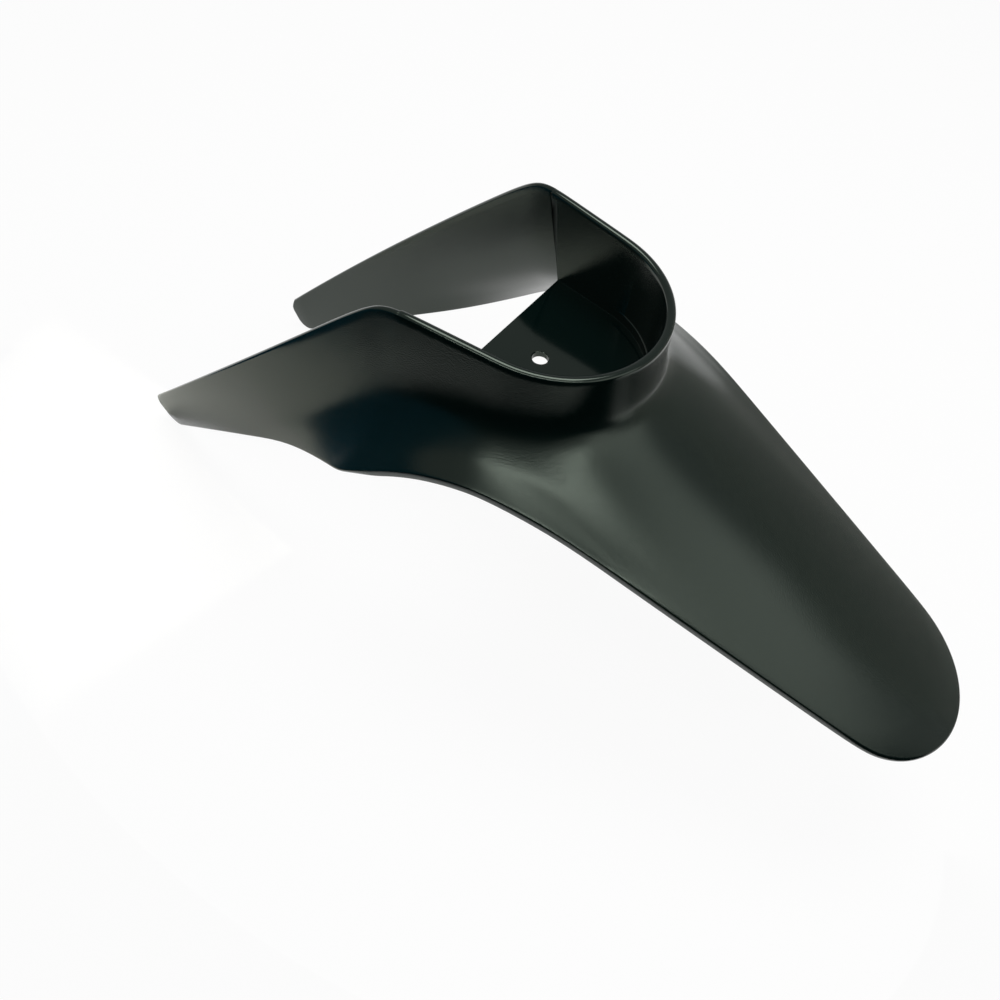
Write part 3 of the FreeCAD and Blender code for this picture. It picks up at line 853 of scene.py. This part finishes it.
# The cards stand on the floor round the part, and neither camera nor shadows show them. Each has
# its first and last angle about the part, the half axes of its foot and of its top, the heights
# of its top at even steps from end to end, and its colour.
CARD_MIDDLE = (-0.04, -0.04)
CARD_STEPS = 48
TEAL_CARD = SimpleNamespace(turn=(-168, -105), foot=(0.29, 0.175), top=(0.55, 0.5),
                            heights=(0.2, 0.3, 0.42), colour=(0.03, 0.11, 0.17, 1))
BLACK_CARD = SimpleNamespace(turn=(-105, 10), foot=(0.29, 0.175), top=(0.55, 0.5),
                             heights=(0.42, 0.54, 0.5, 0.14, 0.08), colour=(0.01, 0.01, 0.01, 1))
GREY_CARD = SimpleNamespace(turn=(25, 74), foot=(0.5, 0.4), top=(0.55, 0.45),
                            heights=(0.2, 0.24, 0.24), colour=(0.62, 0.62, 0.58, 1))
# The pale mat is painted shade: a dimmer floor beside the near wing, standing in for the part's
# shadow on the floor as the wing mirrors it
PALE_MAT = SimpleNamespace(turn=(-178, -105), foot=(0.185, 0.036), top=(0.29, 0.175),
                           heights=(-0.135, -0.135), colour=(0.9, 0.9, 0.82, 1))


def make_card(name, card):
    """A matt card that the glossy plastic mirrors as shade.

    Straight lines rise from the points of an ellipse's arc on the floor to those of a wider one.
    """
    turn = np.radians(np.linspace(*card.turn, CARD_STEPS + 1))
    round_card = np.stack([np.cos(turn), np.sin(turn)], 1)
    even = np.linspace(0, 1, len(card.heights))
    top = np.interp(np.linspace(0, 1, len(turn)), even, card.heights)
    foot = np.full(len(turn), cad_box[0].z)
    rows = [np.column_stack([round_card * half + CARD_MIDDLE, height])
            for half, height in ((card.foot, foot), (card.top, top))]
    index = np.arange(2 * len(turn)).reshape(2, -1)
    mesh = bpy.data.meshes.new(name)
    mesh.from_pydata(np.concatenate(rows).tolist(), [], grid_faces(index).tolist())
    piece = bpy.data.objects.new(name, mesh)
    bpy.context.scene.collection.objects.link(piece)
    piece.visible_camera = False
    piece.visible_shadow = False
    material = bpy.data.materials.new(name)
    material.use_nodes = True
    shader = material.node_tree.nodes["Principled BSDF"]
    shader.inputs["Base Color"].default_value = card.colour
    shader.inputs["Specular IOR Level"].default_value = 0
    mesh.materials.append(material)


LAMP_DISTANCE = 1.1


def soft_light(name, azimuth, elevation, size, power):
    """A wide lamp on a sphere round the part, pointing at it."""
    azimuth, elevation = math.radians(azimuth), math.radians(elevation)
    level = LAMP_DISTANCE * math.cos(elevation)
    place = Vector((level * math.cos(azimuth), level * math.sin(azimuth),
                    LAMP_DISTANCE * math.sin(elevation)))
    data = bpy.data.lights.new(name, "AREA")
    data.shape = "RECTANGLE"
    data.size, data.size_y = size
    data.energy = power
    lamp = bpy.data.objects.new(name, data)
    aim = (-place).to_track_quat("-Z", "Y").to_matrix().to_4x4()
    lamp.matrix_world = Matrix.Translation(place) @ aim
    bpy.context.scene.collection.objects.link(lamp)


shell = joined(make_skin(), [make_lining(), make_floor()])
mark_finishes(shell)
shell.data.materials.clear()
shell.data.materials.append(black_plastic())
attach(shell, "root")
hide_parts("mudguard")

make_camera()
make_world()
make_floor_stage()
make_card("teal_card", TEAL_CARD)
make_card("black_card", BLACK_CARD)
make_card("grey_card", GREY_CARD)
make_card("pale_mat", PALE_MAT)
soft_light("strip_lamp", azimuth=-62, elevation=55, size=(1.3, 0.07), power=3.1)
soft_light("top_lamp", azimuth=-58, elevation=66, size=(1.1, 0.22), power=1.2)
soft_light("front_lamp", azimuth=8, elevation=38, size=(0.8, 0.5), power=1.45)
soft_light("overhead_lamp", azimuth=114, elevation=74, size=(0.7, 0.5), power=6.5)
bpy.context.scene.view_settings.view_transform = "Standard"
